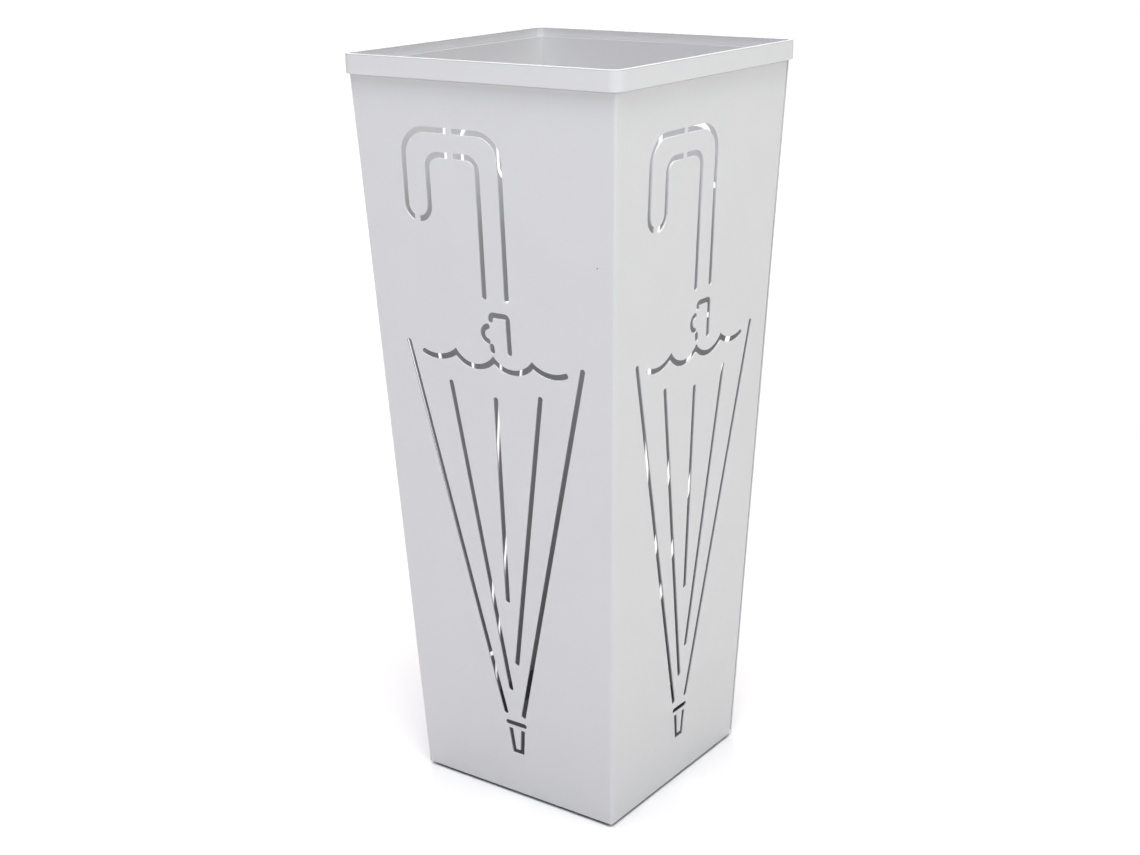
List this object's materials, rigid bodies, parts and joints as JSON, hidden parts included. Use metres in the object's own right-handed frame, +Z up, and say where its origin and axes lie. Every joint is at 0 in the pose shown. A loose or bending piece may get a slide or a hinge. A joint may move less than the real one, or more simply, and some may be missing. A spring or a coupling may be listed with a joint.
{
  "type": "umbrella stand",
  "caption": "Tall square umbrella stand that widens upwards, with an umbrella outline cut through each wall, a banded rim and a lift-out drip tray.",
  "frame": {"origin": "on the floor, under the middle of the stand", "axes": "+Z up; -Y is the front wall and +X the wall to its right; the folded front corner stands at +X -Y"},
  "size_m": [0.2, 0.2, 0.48],
  "materials": {
    "powder_coat": "satin light grey powder coat",
    "tray_plastic": "fine matt texture",
    "foot_rubber": "matt"
  },
  "bodies": {
    "stand": {"front_panel": "powder_coat", "rear_panel": "powder_coat", "rim_band": "powder_coat", "base_plate": "powder_coat", "foot_front": "foot_rubber", "foot_right": "foot_rubber", "foot_rear": "foot_rubber", "foot_left": "foot_rubber"},
    "tray": {"drip_tray": "tray_plastic"}
  },
  "joints": [
    {"name": "tray_lift", "type": "slide", "parent": "stand", "child": "tray", "axis": [0, 0, 1], "range_m": [0, 0.5]}
  ]
}
